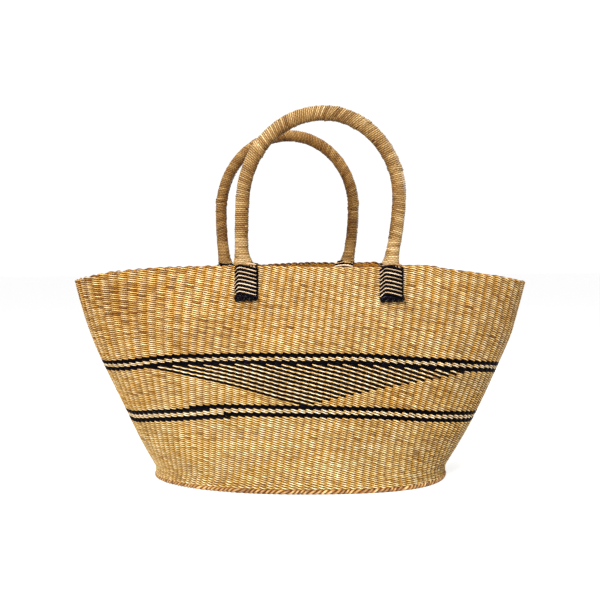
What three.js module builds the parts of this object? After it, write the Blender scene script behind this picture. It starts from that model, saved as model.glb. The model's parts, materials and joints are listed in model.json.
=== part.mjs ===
// Woven grass market basket with two wrapped loop handles.
// Millimetres, +X along the basket's length, -Y is its front, +Z is up, and z = 0 is the floor it stands on.
// The origin is under the middle of the base. The back is the front turned half way round.

import * as THREE from 'three';

// ---- Wall ----
const RIM_HEIGHT = 233;             // rim height in the middle of the front
const BASE_HALF_LENGTH = 162;
const HALF_DEPTH = 105;             // half the depth at the base and at the rim
const BELLY = 4;                    // how much further out the front stands half way up
const FLARE = 0.635;                // how fast the ends lean out, just above the foot
const FLARE_FADE = 0.00096;         // how fast that lean fades with height
const FLARE_START = 12;             // the foot below this height is upright
const END_DROP = 20;                // the rows hang this much lower at the two ends
const END_DROP_FULL_AT = 90;        // rows from this height up hang by all of it
const DROP_POWER = 2.8;             // how late along the wall the rows begin to hang
const WALL = 5;                     // wall thickness
const ROUND_STEPS = 48;             // steps round the basket

// ---- Rows of weaving, from the floor up: name, rows, height of one row, steps up its face, colour ----
const SEAM = 0.4;                   // clear gap between neighbouring bands
const STRAW = 0xc9a15f;
const PALE_STRAW = 0xd6b376;
const BROWN_STRAW = 0xa97c42;
const BLACK_STRAW = 0x17131a;
const FOOT_HEIGHT = 5.5;
const FOOT_PROUD = 0.6;             // the foot rope stands out from the wall by this much
const BANDS = [
  ['foot_band', 3, 2.5, 1, STRAW],
  ['lower_band', 30, 2.25, 2, STRAW],
  ['dark_row_1', 2, 1.95, 1, BLACK_STRAW],
  ['pale_row_lower', 2, 2.0, 1, PALE_STRAW],
  ['dark_row_2', 2, 1.95, 1, BLACK_STRAW],
  ['middle', 21, 1.96, 1, STRAW],
  ['dark_row_3', 2, 1.9, 1, BLACK_STRAW],
  ['pale_row_upper', 2, 1.6, 1, PALE_STRAW],
  ['dark_row_4', 2, 1.9, 1, BLACK_STRAW],
  ['upper_band', 42, 2.03, 3, STRAW],
];
const RIM_BORDER_HEIGHT = 3.4;

// ---- Striped triangle woven into the middle band ----
const MOTIF_LEFT = -161;            // its two upper corners and its lower tip, along the wall
const MOTIF_RIGHT = 165;
const MOTIF_TIP = 8;
const MOTIF_TIP_WIDTH = 8;
const MOTIF_STEPS = 16;
const MIDDLE_STEPS = 14;
const MIDDLE_STEPS_UP = 6;

// ---- Base mat ----
const MAT_UNDERSIDE = 2.5;          // the mat is clear of the floor by this much
const MAT_THICKNESS = 4.5;
const MAT_STEPS_IN = 2;

// ---- Handles ----
const HANDLE_OFFSET = 16.5;         // each handle's middle, from the basket's middle
const HANDLE_HALF_WIDTH = 80;       // centreline at its widest
const HANDLE_TOE_IN = 4.5;          // each leg stands this much further in at the rim
const SHOULDER = 66;                // height of the widest place above the rim
const ARCH_HEIGHT = 88.8;           // from there to the top of the centreline
const FRONT_LEAN = 8;               // sideways shift of a handle's top, towards +X
const BACK_LEAN = 3;
const CORE_RADIUS = 4.4;
const WRAP_INSIDE = 4.8;
const WRAP_OUTSIDE = 7.2;
const LEG_STEPS = 4;
const ARCH_STEPS = 14;
const EXTRUDE_STEPS = 30;
const HINGE_ABOVE_RIM = 8.5;        // the legs bend at this height
const LEG_END_REACH = 6.4;          // a leg's lower end stays this close to the bend
const BINDING_TOP = 26;             // the thick binding round each leg's foot ends here, above the rim
const BINDING_SPREAD = 1.1;         // how much wider its foot would be at the rim, along the rim
const BINDING_SIDES = 12;
const WRAP_GAP = 1.4;               // from a binding's top to the leaning end of the wrap above it

// ---- Lashings that hold each leg to the wall ----
const LASHING_CENTRE = 19;          // middle between the two lashings of a handle
const LASHING_HALF_SPACING = 73;
const LASHING_WIDTH = 23;
const LASHING_DROP = 31;            // how far the outer pad runs down from the rim
const LASHING_PROUD = 6;
const LASHING_SKIN = 2.2;
const LASHING_CLEAR = 0.8;          // from the wall's outer face
const TONGUE_WIDTH = 14;
const TONGUE_DROP = 28;
const KNOT_HEIGHT = 6;
const KNOT_PROUD = 7.5;
const INNER_WIDTH = 21;
const INNER_DROP = 28;
const INNER_PROUD = 3.5;
const SADDLE_THICKNESS = 1.9;
const PART_GAP = 0.35;              // between pieces that lie against each other

function material(color, roughness) {
  return new THREE.MeshStandardMaterial({ color, roughness, metalness: 0 });
}

function mesh(name, geometry, color, roughness = 0.85) {
  const made = new THREE.Mesh(geometry, material(color, roughness));
  made.name = name;
  return made;
}

// How far a row at this height hangs down at the two ends.
function dropAt(rise) {
  return END_DROP * Math.sin((Math.PI / 2) * Math.min(1, Math.max(0, rise) / END_DROP_FULL_AT));
}

function halfLengthAt(rise) {
  const above = Math.max(0, rise - dropAt(rise) - FLARE_START);
  return BASE_HALF_LENGTH + FLARE * above - FLARE_FADE * above * above;
}

function halfDepthAt(rise) {
  return HALF_DEPTH + BELLY * Math.sin((Math.PI * Math.max(0, rise)) / RIM_HEIGHT);
}

// A point of the wall. Turn is the angle round from the middle of the front towards +X, rise is the height
// of its row in the middle of the front, and out is the distance from the wall's outer face.
function wallPoint(turn, rise, out) {
  return new THREE.Vector3(
    (halfLengthAt(rise) + out) * Math.sin(turn),
    -(halfDepthAt(rise) + out) * Math.cos(turn),
    rise - dropAt(rise) * Math.abs(Math.sin(turn)) ** DROP_POWER,
  );
}

// The turn at which the front wall, at this row, is at this x.
function turnAt(x, rise) {
  return Math.asin(x / halfLengthAt(rise));
}

// Moves every vertex of a geometry to place(x, y, z).
function mapped(geometry, place) {
  const position = geometry.getAttribute('position');
  for (let i = 0; i < position.count; i += 1) {
    const point = place(position.getX(i), position.getY(i), position.getZ(i));
    position.setXYZ(i, point.x, point.y, point.z);
  }
  geometry.computeVertexNormals();
  return geometry;
}

// A closed ring round the basket. The section is a list of [out, rise], anticlockwise from its lower outer corner.
function ring(section) {
  const spread = 100;               // keeps every radius of the lathe above zero
  const profile = section.map(([out, rise]) => new THREE.Vector2(spread + out, rise));
  profile.push(profile[0].clone());
  const lathe = new THREE.LatheGeometry(profile, ROUND_STEPS);
  return mapped(lathe, (x, y, z) => wallPoint(Math.atan2(x, z), y, Math.hypot(x, z) - spread));
}

// The section of a band of rows between two heights, with some steps up its faces.
function bandSection(bottom, top, steps, outside = 0, inside = -WALL) {
  const heights = Array.from({ length: steps + 1 }, (_, i) => bottom + ((top - bottom) * i) / steps);
  const outer = heights.map((rise) => [outside, rise]);
  const inner = heights.map((rise) => [inside, rise]).reverse();
  return [...outer, ...inner];
}

// A piece of the wall between two heights and two turns, each given as a function of the height.
function wallPatch(bottom, top, from, to, stepsRound) {
  const box = new THREE.BoxGeometry(1, 1, 1, stepsRound, MIDDLE_STEPS_UP, 1);
  return mapped(box, (x, y, z) => {
    const rise = bottom + (top - bottom) * (y + 0.5);
    const turn = from(rise) + (to(rise) - from(rise)) * (x + 0.5);
    return wallPoint(turn, rise, -WALL / 2 + z * WALL);
  });
}

// The height at which each band starts, and the whole list of bands.
function stackedBands() {
  let bottom = FOOT_HEIGHT;
  return BANDS.map(([name, rows, pitch, steps, color]) => {
    const band = { name, bottom: bottom + SEAM / 2, top: bottom + rows * pitch - SEAM / 2, steps, color };
    bottom += rows * pitch;
    return band;
  });
}

// The middle band: two striped triangles, front and back, and the plain weave left and right of them.
function middleBand({ bottom, top, color }) {
  const share = (rise) => (rise - bottom) / (top - bottom);
  const edge = (corner, tip) => (rise) => turnAt(tip + (corner - tip) * share(rise), rise);
  const left = edge(MOTIF_LEFT, MOTIF_TIP - MOTIF_TIP_WIDTH / 2);
  const right = edge(MOTIF_RIGHT, MOTIF_TIP + MOTIF_TIP_WIDTH / 2);
  const seam = SEAM / HALF_DEPTH;
  const motif = () => wallPatch(bottom, top, left, right, MOTIF_STEPS);
  const plain = () => wallPatch(
    bottom,
    top,
    (rise) => right(rise) + seam,
    (rise) => left(rise) + Math.PI - seam,
    MIDDLE_STEPS,
  );
  const front = new THREE.Group();
  front.add(mesh('motif_panel_front', motif(), BROWN_STRAW), mesh('middle_band_right', plain(), color));
  const back = new THREE.Group();
  back.rotation.z = Math.PI;
  back.add(mesh('motif_panel_back', motif(), BROWN_STRAW), mesh('middle_band_left', plain(), color));
  return [front, back];
}

// The oval mat of the base, a little clear of the floor, inside the foot rope.
function baseMat() {
  const edge = -WALL - FOOT_PROUD;
  const top = MAT_UNDERSIDE + MAT_THICKNESS;
  const radii = Array.from({ length: MAT_STEPS_IN + 1 }, (_, i) => i / MAT_STEPS_IN);
  const profile = [
    ...radii.map((share) => new THREE.Vector2(share, MAT_UNDERSIDE)),
    ...radii.map((share) => new THREE.Vector2(share, top)).reverse(),
  ];
  const lathe = new THREE.LatheGeometry(profile, ROUND_STEPS);
  return mapped(lathe, (x, y, z) => new THREE.Vector3(
    x * (BASE_HALF_LENGTH + edge),
    -z * (HALF_DEPTH + edge),
    y,
  ));
}

function woven() {
  const group = new THREE.Group();
  const bands = stackedBands();
  const topOfWeave = bands.at(-1).top + SEAM / 2;
  const footSection = bandSection(0, FOOT_HEIGHT - SEAM / 2, 1, FOOT_PROUD, -WALL);
  const rimSection = [
    [0.2, topOfWeave + SEAM / 2],
    [0.2, topOfWeave + RIM_BORDER_HEIGHT - 1.2],
    [-1.2, topOfWeave + RIM_BORDER_HEIGHT],
    [-WALL + 0.8, topOfWeave + RIM_BORDER_HEIGHT],
    [-WALL - 0.4, topOfWeave + RIM_BORDER_HEIGHT - 1.2],
    [-WALL - 0.4, topOfWeave + SEAM / 2],
  ];
  group.add(mesh('base_mat', baseMat(), STRAW));
  group.add(mesh('foot_ring', ring(footSection), BROWN_STRAW));
  for (const band of bands) {
    if (band.name === 'middle') {
      group.add(...middleBand(band));
    } else {
      group.add(mesh(band.name, ring(bandSection(band.bottom, band.top, band.steps)), band.color));
    }
  }
  group.add(mesh('rim_border', ring(rimSection), STRAW));
  return group;
}

// The handle's centreline, from one leg's foot to the other's, in the plane of the handle.
function handlePath(lean, startHeight) {
  const points = [];
  const shifted = (x, z) => new THREE.Vector3(x + (lean * z) / (SHOULDER + ARCH_HEIGHT), 0, z);
  const legHalf = (z) => HANDLE_HALF_WIDTH - HANDLE_TOE_IN * ((SHOULDER - z) / SHOULDER) ** 2;
  const legHeights = Array.from({ length: LEG_STEPS }, (_, i) => (
    startHeight + ((SHOULDER - startHeight) * i) / LEG_STEPS
  ));
  for (const z of legHeights) {
    points.push(shifted(-legHalf(z), z));
  }
  for (let i = 0; i <= ARCH_STEPS; i += 1) {
    const angle = Math.PI - (Math.PI * i) / ARCH_STEPS;
    points.push(shifted(HANDLE_HALF_WIDTH * Math.cos(angle), SHOULDER + ARCH_HEIGHT * Math.sin(angle)));
  }
  for (const z of legHeights.reverse()) {
    points.push(shifted(legHalf(z), z));
  }
  return new THREE.CatmullRomCurve3(points);
}

// A round rod, or a tube when it has an inside radius, along the handle's centreline.
function handleRod(lean, startHeight, radius, inside, halfSides) {
  const section = new THREE.Shape().absarc(0, 0, radius, 0, 2 * Math.PI);
  if (inside > 0) {
    section.holes.push(new THREE.Path().absarc(0, 0, inside, 0, 2 * Math.PI, true));
  }
  return new THREE.ExtrudeGeometry(section, {
    steps: EXTRUDE_STEPS,
    curveSegments: halfSides,
    extrudePath: handlePath(lean, startHeight),
  });
}

// The thick binding round the foot of one leg: a sleeve that spreads along the rim towards its lower end.
function legBinding(lean, sideSign) {
  const path = (z) => {
    const half = HANDLE_HALF_WIDTH - HANDLE_TOE_IN * ((SHOULDER - z) / SHOULDER) ** 2;
    return sideSign * half + (lean * z) / (SHOULDER + ARCH_HEIGHT);
  };
  const reach = (radius) => HINGE_ABOVE_RIM - Math.sqrt(LEG_END_REACH ** 2 - radius ** 2);
  const outside = WRAP_OUTSIDE + 0.5;
  const profile = [
    [WRAP_INSIDE, reach(WRAP_INSIDE)],
    [LEG_END_REACH, HINGE_ABOVE_RIM],
    [outside, HINGE_ABOVE_RIM + 5],
    [outside, BINDING_TOP],
    [WRAP_INSIDE, BINDING_TOP],
  ].map(([radius, z]) => new THREE.Vector2(radius, z));
  profile.push(profile[0].clone());
  const lathe = new THREE.LatheGeometry(profile, BINDING_SIDES);
  return mapped(lathe, (x, y, z) => {
    const spread = 1 + BINDING_SPREAD * ((BINDING_TOP - y) / BINDING_TOP) ** 3;
    return new THREE.Vector3(path(y) + x * spread, -z, y);
  });
}

// Where the legs of a handle stand: the middle of the wall, just over the rim.
function footPlace(x) {
  const out = -WALL / 2;
  return new THREE.Vector3(x, -(HALF_DEPTH + out) * Math.cos(Math.asin(x / (halfLengthAt(RIM_HEIGHT) + out))), 0);
}

function handle(side, lean) {
  const group = new THREE.Group();
  const toe = HANDLE_HALF_WIDTH - HANDLE_TOE_IN;
  const left = footPlace(HANDLE_OFFSET - toe);
  const right = footPlace(HANDLE_OFFSET + toe);
  const middle = left.clone().add(right).multiplyScalar(0.5);
  group.position.set(middle.x, middle.y, RIM_HEIGHT);
  group.rotation.z = Math.atan2(right.y - left.y, right.x - left.x);
  const coreStart = HINGE_ABOVE_RIM - Math.sqrt(LEG_END_REACH ** 2 - CORE_RADIUS ** 2);
  group.add(mesh(`${side}_handle_core`, handleRod(lean, coreStart, CORE_RADIUS, 0, 3), BROWN_STRAW));
  const wrapStart = BINDING_TOP + WRAP_GAP;
  group.add(mesh(`${side}_handle_wrap`, handleRod(lean, wrapStart, WRAP_OUTSIDE, WRAP_INSIDE, 5), STRAW));
  const names = side === 'front' ? ['left', 'right'] : ['right', 'left'];
  group.add(mesh(`${side}_${names[0]}_leg_binding`, legBinding(lean, -1), STRAW));
  group.add(mesh(`${side}_${names[1]}_leg_binding`, legBinding(lean, 1), STRAW));
  return group;
}

// Puts a flat piece on the front wall: x along the wall from its middle, y inwards from the outer face, z up from
// the rim.
function onWall(geometry, middle) {
  return mapped(geometry, (x, y, z) => {
    const rise = RIM_HEIGHT + z;
    return wallPoint(turnAt(middle + x, rise), rise, -y);
  });
}

// A flat plate between two distances out from the wall's outer face.
function plate(width, from, to, bottom, top) {
  const box = new THREE.BoxGeometry(width, to - from, top - bottom, 2, 1, 2);
  return box.translate(0, -(from + to) / 2, (bottom + top) / 2);
}

// The outer pad: a shallow channel over the tongue of the handle's core.
function channel() {
  const half = LASHING_WIDTH / 2;
  const pocket = TONGUE_WIDTH / 2 + PART_GAP;
  const roof = LASHING_PROUD - LASHING_SKIN;
  const section = new THREE.Shape([
    [half, LASHING_CLEAR],
    [half, LASHING_PROUD - 2],
    [half - 3, LASHING_PROUD],
    [3 - half, LASHING_PROUD],
    [-half, LASHING_PROUD - 2],
    [-half, LASHING_CLEAR],
    [-pocket, LASHING_CLEAR],
    [-pocket, roof],
    [pocket, roof],
    [pocket, LASHING_CLEAR],
  ].map(([x, out]) => new THREE.Vector2(x, -out)));
  const pad = new THREE.ExtrudeGeometry(section, { depth: LASHING_DROP - PART_GAP, bevelEnabled: false });
  return pad.translate(0, 0, -LASHING_DROP);
}

// One leg's fastening: tongue, outer pad, knot, saddle over the rim and inner pad.
function lashing(prefix, middle) {
  const group = new THREE.Group();
  const knotTop = -LASHING_DROP - PART_GAP;
  const saddleBottom = PART_GAP;
  const inside = -WALL - PART_GAP - 0.4;
  const tongue = plate(
    TONGUE_WIDTH,
    LASHING_CLEAR,
    LASHING_PROUD - LASHING_SKIN - PART_GAP,
    -TONGUE_DROP,
    -PART_GAP,
  );
  const knot = plate(LASHING_WIDTH, LASHING_CLEAR, KNOT_PROUD, knotTop - KNOT_HEIGHT, knotTop);
  const saddle = plate(
    LASHING_WIDTH,
    inside - INNER_PROUD,
    LASHING_PROUD,
    saddleBottom,
    saddleBottom + SADDLE_THICKNESS,
  );
  const innerPad = plate(INNER_WIDTH, inside - INNER_PROUD, inside, -INNER_DROP, 0);
  group.add(mesh(`${prefix}_tongue`, onWall(tongue, middle), BROWN_STRAW));
  group.add(mesh(`${prefix}_outer_lashing`, onWall(channel(), middle), BLACK_STRAW));
  group.add(mesh(`${prefix}_knot`, onWall(knot, middle), BLACK_STRAW));
  group.add(mesh(`${prefix}_saddle`, onWall(saddle, middle), BLACK_STRAW));
  group.add(mesh(`${prefix}_inner_lashing`, onWall(innerPad, middle), BLACK_STRAW));
  return group;
}

// One long side of the basket: its handle and the two lashings.
function handleSide(side, lean) {
  const group = new THREE.Group();
  const names = side === 'front' ? ['left', 'right'] : ['right', 'left'];
  group.add(handle(side, lean));
  group.add(lashing(`${side}_${names[0]}`, LASHING_CENTRE - LASHING_HALF_SPACING));
  group.add(lashing(`${side}_${names[1]}`, LASHING_CENTRE + LASHING_HALF_SPACING));
  return group;
}

const basket = new THREE.Group();
basket.add(woven());
basket.add(handleSide('front', FRONT_LEAN));
const backSide = handleSide('back', -BACK_LEAN);
backSide.rotation.z = Math.PI;
basket.add(backSide);

export default basket;
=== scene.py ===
import json
import math
from collections import namedtuple

import bpy
import numpy as np
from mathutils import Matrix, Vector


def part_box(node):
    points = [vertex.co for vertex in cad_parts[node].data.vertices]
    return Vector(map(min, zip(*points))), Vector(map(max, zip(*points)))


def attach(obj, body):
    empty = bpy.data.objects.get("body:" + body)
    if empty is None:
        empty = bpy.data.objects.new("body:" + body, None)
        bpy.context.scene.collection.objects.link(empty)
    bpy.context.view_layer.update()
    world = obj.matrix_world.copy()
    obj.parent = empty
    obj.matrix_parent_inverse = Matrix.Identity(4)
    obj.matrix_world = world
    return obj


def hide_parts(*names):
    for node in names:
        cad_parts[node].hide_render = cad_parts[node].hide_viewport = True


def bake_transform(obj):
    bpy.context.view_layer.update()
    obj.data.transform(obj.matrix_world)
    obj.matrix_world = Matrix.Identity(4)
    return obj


# Woven grass market basket on its CAD frame. Lengths are in millimetres until a mesh is made.

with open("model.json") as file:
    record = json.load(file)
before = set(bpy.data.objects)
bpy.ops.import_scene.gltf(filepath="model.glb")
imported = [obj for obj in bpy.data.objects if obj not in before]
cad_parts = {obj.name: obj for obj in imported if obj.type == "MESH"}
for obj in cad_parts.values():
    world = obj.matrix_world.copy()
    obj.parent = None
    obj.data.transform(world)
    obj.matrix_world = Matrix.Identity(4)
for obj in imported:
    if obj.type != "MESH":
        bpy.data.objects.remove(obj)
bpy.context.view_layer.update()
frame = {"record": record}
chance = np.random.default_rng(11)

MM = 0.001


def node_box(node):
    """The lowest and highest corners of a CAD node."""
    low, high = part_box(node)
    return np.array(low) / MM, np.array(high) / MM


# ---- Wall: the same oval bowl as the CAD bands ----
RIM = 233.0                # height of the rim in the middle of the front
BASE_HALF_LENGTH = 162.0
HALF_DEPTH = 105.0
BELLY = 4.0                # how much further out the front stands half way up
FLARE = 0.635              # how much further out the ends stand for each millimetre of height
FLARE_FADE = 0.00096       # how that slows down with the square of the height
FLARE_START = 12.0
END_DROP = 20.0            # the rows hang this much lower at the two ends
END_DROP_FULL_AT = 90.0
DROP_POWER = 2.8           # above 1, the rows hang mostly near the ends
WALL = 5.0
SEAM = 0.4                 # clear gap between the CAD bands

# ---- Uneven rows ----
LONG_WAVE = -1.2           # the rows rise and fall by this, twice round the basket
# Short waves: height, number round the basket, and how far up one radian of their slant takes.
SHORT_WAVES = [(0.32, 7, 23), (0.22, 13, -17)]
LEFT_END = -np.pi / 2
LEFT_END_LIFT = 3.6        # the rows half way up the left end hang this much less
LEFT_END_WIDTH = 0.62      # half width of that place, in radians
LOW_ROWS_TOP = 0.74        # the lower rows end at this share of the rim's height
LOW_ROWS_SAG = 1.0         # they lie this much lower all round
# Uneven places of the lower rows and of the rim: turn and its half width in radians, and height.
LOW_ROWS_UNEVEN = [(0.66, 0.40, -2.9), (-1.57, 0.25, 4.5)]
RIM_UNEVEN = [
    (0.16, 0.20, -1.3), (3.10, 0.17, 2.0), (2.78, 0.15, 2.7), (-2.8, 0.3, -0.6),
    (-1.05, 0.62, 5.0), (-1.75, 0.35, 1.8), (0.53, 0.10, 2.6),
]
RIM_UNEVEN_FROM = 150.0    # height where the rim's uneven places begin
RIM_UNEVEN_FADE = 80.0     # they are complete this much higher

# ---- Uneven wall ----
# Its wave: distance outwards, number round the basket, and how far up one radian of its slant takes.
WALL_WAVE = (0.5, 5, 40)
WALL_WAVE_FULL_AT = 60.0
# Bulges and hollows: turn and its half width, height and its half width, and distance outwards.
WALL_UNEVEN = [
    (-1.57, 0.80, 108, 48, -3.7),
    (1.57, 0.70, 172, 26, 2.0),
    (1.57, 0.50, 0, 45, -3.0),
    (0.74, 0.46, 0, 40, 10.0),
]

# ---- Stakes ----
STAKES = 119
STAKE_HALF_SHARE = 0.51    # half a stake's width, as a share of the way from one stake to the next
STAKE_HALF_THICK = 0.45
STAKE_MIDDLE = -2.3        # from the wall's outer face
STAKE_BOTTOM = 4.0
STAKE_SPREAD = 0.617       # how close the stakes stand at the rim in the middle, against the foot
FAN_CURVE = 0.3            # they close up faster near the foot by this share
FOOT_EVENNESS = 0.09       # the stakes stand this share closer round the ends of the foot
STAKE_LEAN = 0.14          # millimetres to the right for each millimetre of height
LEAN_LEVEL = 134.0         # height where the leaning stakes are in their own places

# ---- Weave ----
SEGMENTS = 4               # rings of a strand from one stake to the next
STRAND_SIDES = 5
SWING = 1.30               # how far a strand swings out and in about the middle of the weave
WEAVE_MIDDLE = -2.15       # from the wall's outer face
SLANT = 0.86               # how far it climbs and falls
CREST = 0.80               # below 1, the outer passes are broad and the valleys narrow
STRAND_HALF_SHARE = 0.385  # half a strand's width, as a share of its row's pitch
INNER_PASS_WIDER = 0.34    # it is wider by this share where it passes inside a stake
STRAND_THICK = 0.86        # half its thickness
DARK_WIDTH = {"motif": 1.28, "rows": 1.5}   # the dyed strands are thicker
STITCH_LENGTH = 7.3
SWING_CHANCE = 0.06        # how much the stitches differ in swing, height and width
RISE_CHANCE = 0.12
WIDTH_CHANCE = 0.13
FIRST_STAKE = -30          # the number of the stake at the left end; 0 is in the middle of the front
MOTIF_STAKES = (1, 60)     # the stakes where the lower tips of the two triangles stand
# Where the weaver's spiral of rows meets itself: to the left of a jog the dark rows lie one row lower, from
# there round to the back. Each jog has its first row, counted from the first dark one, and its number of
# rows. Between its two places along the stakes a third row is dark as well.
JOGS = [(-1, 3, (-9.6, -8.6)), (2, 4, (-14.7, -11.5))]
JOG_RETURN = 62.0
RIM_ROW_UP = 1.0           # the last row of twining stands this far above the bands
RIM_ROW_PITCH = 2.1

# ---- Light and colour of the stitches ----
# Paler and darker patches: how much, number round the basket, how far up one radian takes, and start.
TONE_PATCHES = [(0.04, 3, 29, 0), (0.05, 8, -13, 1.7), (0.04, 17, 7, 0)]
# Painted shade: the upper wall is darker towards the left, the lower wall towards the right.
LEFT_RIM_PAINTED_SHADE = 0.28
RIGHT_FOOT_PAINTED_SHADE = 0.10
STRAND_TONE_CHANCE = 0.10  # how much whole strands differ
RUN_TONE_CHANCE = 0.045    # how much runs of stitches differ
RUN_STITCHES = 5
STITCH_TONE_CHANCE = 0.15  # how much single stitches differ, within the two limits
STITCH_TONE_LIMITS = (-0.21, 0.28)
DIVE_SHADE = 0.52          # a strand is darker by this where it dives in between two stakes
INNER_PASS_SHADE = 0.6     # and by this where it passes inside a stake
EDGE_LIGHT = 0.02          # share of the light that reaches a strand's edges

# ---- Foot rope and base mat ----
ROPE_STRANDS = 3
ROPE_TWISTS = 59           # whole turns round the basket
ROPE_STEPS = 1188
ROPE_RUN = 6               # steps of one tone
ROPE_MIDDLE = -1.9         # from the wall's outer face
ROPE_SWING = (1.25, 1.2)   # how far the strands wind about the rope's middle, outwards and upwards
ROPE_HALF_THICK = (1.5, 1.55)
MAT_ROWS = 32
MAT_MARGIN = 1.6           # how far the mat runs on under the wall
MAT_STEPS = 3              # rings from one stake to the next
MAT_STITCH_LENGTH = 7.0
# How many stakes the mat has, up to each share of the way from its middle to its edge.
MAT_STAKES = [(0.28, 31), (0.56, 61), (1.0, STAKES)]

# ---- Handles ----
HANDLE_HALF_WIDTH = 80.0
HANDLE_TOE_IN = {"front": 4.5, "back": 6.2}    # the legs' feet stand this much nearer the middle
SHOULDER = 66.0            # height where the legs end and the arch begins
ARCH_HEIGHT = 88.8
HANDLE_LEAN = {"front": 8.0, "back": -3.0}     # how far the top leans over, along the hinge's axis
HANDLE_SWAY = {"front": 1.8, "back": -0.3}     # half way up the handle leans over this much more
HANDLE_RADII = {"front": (7.05, 8.0), "back": (6.8, 7.1)}   # at the feet and at the top
CORE_STRANDS = 5
WRAP_PITCH = 2.02
WRAP_STEPS = 40            # rings in one turn
WRAP_HALF_WIDTH = 1.06
WRAP_HALF_THICK = 0.8
# Places along the handle, as shares of its length, where a strand is wound over the winding.
MENDS = {"front": (0.30, 0.52, 0.60, 0.745), "back": (0.17, 0.58, 0.80)}
MEND_TURNS = 2.2
TWISTS = 12.5              # twists of a wound strand in one turn round a leg
# Painted shade: the gaps between the plies are darkened in the colour, not shaped.
PLY_SHADE = 0.24           # how much darker the gaps between its plies are

# ---- Leg bindings ----
BINDING_TOP = 26.0
BINDING_OVERLAP = 1.5
BINDING_PITCH = 1.72
BINDING_STEPS = 44
BINDING_RADIUS = 7.0
BINDING_HALF_WIDTH = 1.12
BINDING_HALF_THICK = 0.85
BINDING_CORES = 4
# Each foot of a handle: how far its left and right edges stand from the leg's own centre at the rim.
FOOT_SPREAD = {
    ("front", -1): (9.6, 13.4),
    ("front", 1): (9.6, 9.6),
    ("back", -1): (9.0, 10.4),
    ("back", 1): (9.6, 9.0),
}
FOOT_NAMES = {("front", -1): "left", ("front", 1): "right", ("back", -1): "right", ("back", 1): "left"}

# ---- Lashings ----
LASHING_CENTRE = 19.0
LASHING_HALF_SPACING = 73.0
OUTER_CORDS = 15
OUTER_SPACING = 1.98
INNER_CORDS = 14
INNER_SPACING = 2.0
SADDLE_CORDS = 7
SADDLE_HALF = {"front": 10.4, "back": 9.3}

# ---- Stage, in metres ----
FLOOR_REACH = 12.0
FLOOR_GREY = 0.25
FLOOR_GLOW = 0.82
LIGHTS_AIM = (0, 0, 0.15)
# Each light: name, place, width and power in watts.
LIGHTS = [
    ("key", (-0.45, -1.85, 1.25), 0.7, 96),
    ("top", (0.1, 0.2, 2.0), 1.2, 26),
]
# The world is bright near the horizon and dimmer overhead: where it begins and ends to fade, and its light.
SKY_FADE = (0.27, 0.42)
SKY_LIGHT = (1.05, 0.45)
CAMERA_PLACE = (0, -1.130, 0.242)
CAMERA_ROLL = math.radians(0.35)
CAMERA_LENS = 60.75        # millimetres, for a sensor 36 mm wide
CAMERA_SENSOR = 36
CAMERA_SHIFT = -44 / 600   # share of the picture's width

# The tones below are as they look on screen. The lights are stronger than that by one over this.
STRONG_LIGHT = 0.895


def tone_list(*screen_tones):
    """Tones from dark to light, given as screen values from 0 to 255, as linear light."""
    shares = np.array(screen_tones) / 255
    return np.where(shares < 0.04045, shares / 12.92, ((shares + 0.055) / 1.055) ** 2.4)


STRAW_TONES = tone_list(
    (152, 104, 46),
    (208, 168, 99),
    (236, 202, 139),
    (245, 221, 170),
    (249, 232, 194),
)
PALE_TONES = tone_list((226, 194, 142), (248, 226, 182), (255, 246, 222))
CORD_TONES = tone_list((150, 118, 84), (206, 178, 142), (242, 224, 194))
BLACK_TONES = tone_list((1, 0, 2), (5, 3, 7), (17, 11, 22))
ROPE_TONES = tone_list((112, 76, 42), (178, 140, 92), (226, 196, 148))
RIM_TONES = tone_list((70, 40, 14), (128, 86, 42), (216, 176, 114))
HANDLE_TONES = tone_list(
    (108, 76, 42),
    (152, 122, 80),
    (184, 158, 116),
    (226, 206, 170),
)
WINDING_TONES = {"front": HANDLE_TONES, "back": HANDLE_TONES * np.array([0.78, 0.68, 0.52])}
LOW_TINT = np.array([1.0, 1.10, 1.20])   # the straw near the foot is less orange by this
# How fast red, green and blue fade in the painted shade deep between strands, which turns the straw
# red-brown there.
STRAW_SHADE_FADE = np.array([0.85, 1.35, 2.8])
HANDLE_SHADE_FADE = np.array([0.85, 1.15, 1.75])
BLACK_SHADE_FADE = np.array([0.6, 0.6, 0.6])


def with_painted_shade(tint, lit, fade=STRAW_SHADE_FADE):
    """A colour with painted shade, where only a share of the light reaches it."""
    return tint * lit**fade


def tone(tones, level):
    """The colour at a level from 0 to 1 along a list of tones."""
    level = np.clip(level, 0, 1)
    places = np.linspace(0, 1, len(tones))
    return np.stack([np.interp(level, places, tones[:, channel]) for channel in range(3)], -1)


# ---------------- wall and stakes

def drop_at(rise):
    """How much lower a row hangs at the two ends than in the middle."""
    return END_DROP * np.sin(np.pi / 2 * np.clip(rise / END_DROP_FULL_AT, 0, 1))


def half_length_at(rise):
    above = np.maximum(0, rise - drop_at(rise) - FLARE_START)
    return BASE_HALF_LENGTH + FLARE * above - FLARE_FADE * above**2


def half_depth_at(rise):
    return HALF_DEPTH + BELLY * np.sin(np.pi * np.clip(rise / RIM, 0, 1))


def away_from(turn, centre):
    """The angle from a place round the basket, the short way."""
    return (turn - centre + np.pi) % (2 * np.pi) - np.pi


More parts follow.
